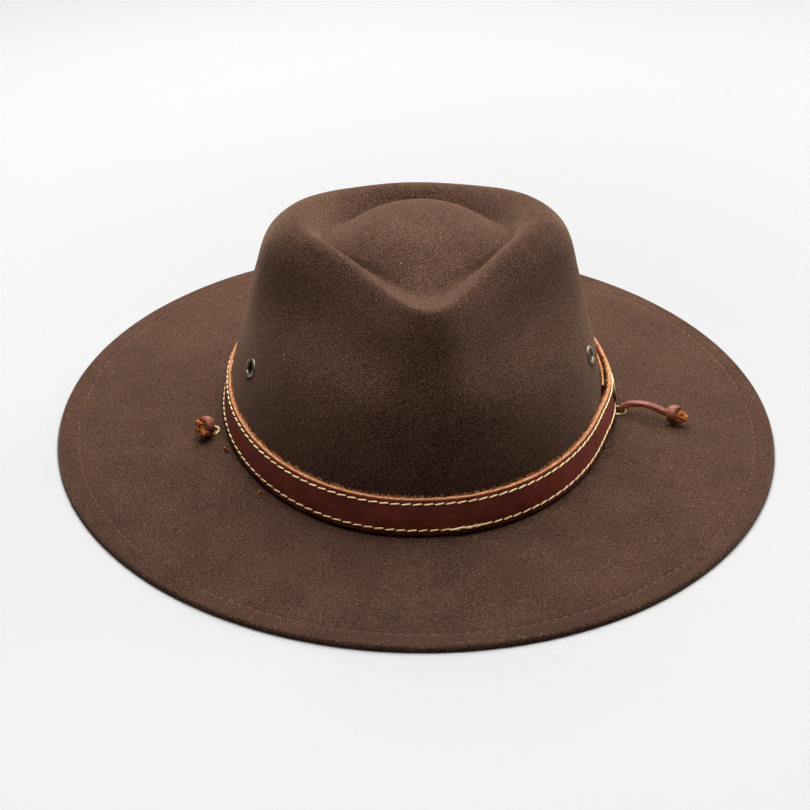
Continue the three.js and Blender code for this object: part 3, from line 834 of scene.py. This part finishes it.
# Pull-up cowhide: aniline-dyed burgundy, waxed, so it is smooth and satin.
face, tree, shader = finish_named("cowhide_waxed_burgundy", Roughness=0.48, IOR=1.5, Specular_IOR_Level=0.25)
where = node(tree, "ShaderNodeTexCoord").outputs["Object"]
cloud = node(tree, "ShaderNodeTexNoise", {"Vector": where, "Scale": 90.0, "Detail": 5.0, "Roughness": 0.55})
tone = node(tree, "ShaderNodeValToRGB", {"Fac": cloud.outputs["Fac"]})
tone.color_ramp.elements[0].position = 0.35
tone.color_ramp.elements[0].color = linear("#6a2a1e")
tone.color_ramp.elements[1].position = 0.68
tone.color_ramp.elements[1].color = linear("#863b2a")
tree.links.new(tone.outputs["Color"], shader.inputs["Base Color"])
pebble = node(tree, "ShaderNodeTexVoronoi", {"Vector": where, "Scale": 1100.0})
relief = node(tree, "ShaderNodeBump", {"Height": pebble.outputs["Distance"], "Strength": 0.12,
                                      "Distance": 0.2 * MM})
tree.links.new(relief.outputs["Normal"], shader.inputs["Normal"])
strap.data.materials.append(face)

# The same hide's raw edge and flesh side: undyed collagen fibres, tan to orange, fuzzy.
raw_edge, tree, shader = finish_named("cowhide_raw_edge", Roughness=0.9, IOR=1.5)
where = node(tree, "ShaderNodeTexCoord").outputs["Object"]
fibres = node(tree, "ShaderNodeTexNoise", {"Vector": where, "Scale": 800.0, "Detail": 5.0, "Roughness": 0.7})
tone = node(tree, "ShaderNodeValToRGB", {"Fac": fibres.outputs["Fac"]})
tone.color_ramp.elements[0].position = 0.36
tone.color_ramp.elements[0].color = linear("#884a2a")
tone.color_ramp.elements[1].position = 0.62
tone.color_ramp.elements[1].color = linear("#c88f5c")
tree.links.new(tone.outputs["Color"], shader.inputs["Base Color"])
relief = node(tree, "ShaderNodeBump", {"Height": fibres.outputs["Fac"], "Strength": 0.7,
                                      "Distance": 0.35 * MM})
tree.links.new(relief.outputs["Normal"], shader.inputs["Normal"])
strap.data.materials.append(raw_edge)
paint_columns(strap, strap_slot)

# Loose fibres that the knife left standing along the strap's raw edges, most of them against the felt.
FRINGE_ROWS = [
    dict(height=1, across=(-0.05, 0.3), count=1400, length=(0.6, 1.9), lean=0.8),
    dict(height=0, across=(0.55, 0.98), count=160, length=(0.3, 0.9), lean=0.9),
]
FIBRE_RADIUS = 0.15
FIBRE_OUTWARD = (-0.2, 0.35)
FIBRE_MIDDLE = 0.35
FRINGE_MARGIN = 2
chance = random.Random(21)
fibre_spots = []
for row in FRINGE_ROWS:
    for _ in range(row["count"]):
        angle = chance.uniform(STRAP_START + FRINGE_MARGIN, STRAP_END - FRINGE_MARGIN)
        (low, high), thickness = strap_corners(angle)
        foot, out = high if row["height"] else low
        along = Vector((-out.y, out.x, 0)) * chance.uniform(-row["lean"], row["lean"])
        rise_way = Vector((0, 0, 1 if row["height"] else -1))
        grown = (rise_way + along + out * chance.uniform(*FIBRE_OUTWARD)).normalized()
        length = chance.uniform(*row["length"])
        place = foot + out * (chance.uniform(*row["across"]) * thickness) + grown * (FIBRE_MIDDLE * length)
        fibre_spots.append((place * MM, grown * length, out))
fringe = stitch_row("band_fringe", fibre_spots, 1, FIBRE_RADIUS)
fringe.data.materials.append(raw_edge)
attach(fringe, "root")
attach(strap, "root")
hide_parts("hatband_strap")


# The band's stitching: two rows of thick waxed thread, lockstitched by machine, each stitch lying at
# a slight slant in its groove. The lower row is backstitched where it was fastened off, near the front.
STITCH_PITCH = 4.85
STITCH_LENGTH = 4.15
STITCH_RADIUS = 0.4
STITCH_SLANT = math.radians(8)
UPPER_ROW = 0.87
LOWER_ROW = 0.145
BACKSTITCH = (365.5, 376.5)
STITCHED = (113, 474)
STITCH_SUNK = 0.02
BACKSTITCH_CROWDING = 0.4
BACKSTITCH_RAISED = 0.3
BACKSTITCH_TURNED = 0.3
BACKSTITCH_STRAY = (-0.35, 0.45)
BACKSTITCH_LENGTHS = (0.5, 0.95)


def band_spots(height, pitch, first, last, slant, sunk):
    """Places along one row of the band, each turned by the slant."""
    turns = np.arange(first, last, 0.5)
    line = [strap_place(a, height) for a in turns]
    run = np.concatenate([[0], np.cumsum([(b[0] - a[0]).length for a, b in zip(line, line[1:])])])
    spots = []
    for i in range(int(run[-1] / pitch)):
        angle = float(np.interp((i + 0.5) * pitch, run, turns))
        place, along, out = strap_place(angle, height)
        along = Quaternion(out, slant) @ along
        spots.append(((place - out * sunk) * MM, along, out))
    return spots


def outward_first(spots):
    """Turns each way out so that it points away from the crown's middle."""
    return [(p, a, o if o.dot(Vector((p.x, p.y, 0))) > 0 else -o) for p, a, o in spots]


upper = outward_first(band_spots(UPPER_ROW, STITCH_PITCH, *STITCHED, STITCH_SLANT, STITCH_SUNK))
lower = outward_first(band_spots(LOWER_ROW, STITCH_PITCH, *STITCHED, STITCH_SLANT, STITCH_SUNK))
chance = random.Random(4)
again = []
crowded = band_spots(LOWER_ROW, STITCH_PITCH * BACKSTITCH_CROWDING, *BACKSTITCH, 0, -BACKSTITCH_RAISED)
for place, along, out in outward_first(crowded):
    along = Quaternion(out, chance.uniform(-BACKSTITCH_TURNED, BACKSTITCH_TURNED)) @ along
    lift = Vector((0, 0, chance.uniform(*BACKSTITCH_STRAY) * MM))
    again.append((place + lift, along * chance.uniform(*BACKSTITCH_LENGTHS), out))
stitching = stitch_row("band_stitching", upper + lower + again, STITCH_LENGTH, STITCH_RADIUS)

# Waxed linen thread, bonded and cream, with a fine twist.
linen, tree, shader = finish_named("linen_thread_waxed", Roughness=0.6, IOR=1.5)
where = node(tree, "ShaderNodeTexCoord").outputs["Object"]
twist = node(tree, "ShaderNodeTexNoise", {"Vector": where, "Scale": 1400.0, "Detail": 2.0})
tone = node(tree, "ShaderNodeValToRGB", {"Fac": twist.outputs["Fac"]})
tone.color_ramp.elements[0].position = 0.35
tone.color_ramp.elements[0].color = linear("#ffd48e")
tone.color_ramp.elements[1].position = 0.6
tone.color_ramp.elements[1].color = linear("#ffebb8")
tree.links.new(tone.outputs["Color"], shader.inputs["Base Color"])
stitching.data.materials.append(linen)
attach(stitching, "root")


# The plate on the lap: a small bare oval of pressed brass, slightly domed, with two prongs pushed
# through the strap and bent up behind it.
PLATE_ANGLE = 446.5
PLATE_HALF = (9, 6.1)
# Shares of the plate's half size, and heights over the strap.
PLATE_RINGS = [
    (0.001, 0), (0.96, 0), (1, 0.12), (1, 0.4), (0.97, 0.52), (0.85, 0.6), (0.6, 0.76), (0.3, 0.87),
    (0.001, 0.9),
]
PRONG_OFFSET = 5.5
PRONG_SIZE = (2, 0.5, 7.3)
PRONG_TAPER = (1, 1, 1, 1, 1, 0.75, 0.35)
PLATE_SIDES = 48

spot, along, out = strap_place(PLATE_ANGLE, 0.5)
if out.dot(Vector((spot.x, spot.y, 0))) < 0:
    out = -out
upward = out.cross(along).normalized()
if upward.z < 0:
    upward = -upward


def on_lap(across, outward, high):
    """A point of the plate's own frame, given in mm, as a place in metres."""
    return (spot + along * across + out * outward + upward * high) * MM


rings = []
for share, height in PLATE_RINGS:
    rings.append([on_lap(math.cos(a) * PLATE_HALF[0] * share, FELT_GAP + height,
                         math.sin(a) * PLATE_HALF[1] * share)
                  for a in (i / PLATE_SIDES * 2 * math.pi for i in range(PLATE_SIDES))])
plate = skin("brass_plate", rings, capped=False)
parts = [plate]
behind = STRAP_THICKNESS + 2 * FELT_GAP
for side in (-1, 1):
    middle = side * PRONG_OFFSET
    width, thick, leg = PRONG_SIZE
    # Through the strap, round the bend and up behind it, as distances out of the strap and up.
    line = [(1, 0), (-behind + 0.6, 0), (-behind + 0.15, 0.1), (-behind - 0.1, 0.55), (-behind - 0.2, 2),
            (-behind - 0.15, leg - 0.8), (-behind - 0.1, leg)]
    rings = []
    for i, (outward, high) in enumerate(line):
        ahead = Vector(line[min(i + 1, len(line) - 1)]) - Vector(line[max(i - 1, 0)])
        ahead.normalize()
        normal = Vector((-ahead.y, ahead.x)) * (thick / 2)
        half = width / 2 * PRONG_TAPER[i]
        rings.append([on_lap(middle + x * half, outward + normal.x * y, high + normal.y * y)
                      for x, y in ((-1, -1), (1, -1), (1, 1), (-1, 1))])
    parts.append(skin("prong", rings))
joined(parts)
plate.data.materials.append(bare_brass)
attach(plate, "root")
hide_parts("band_plate")
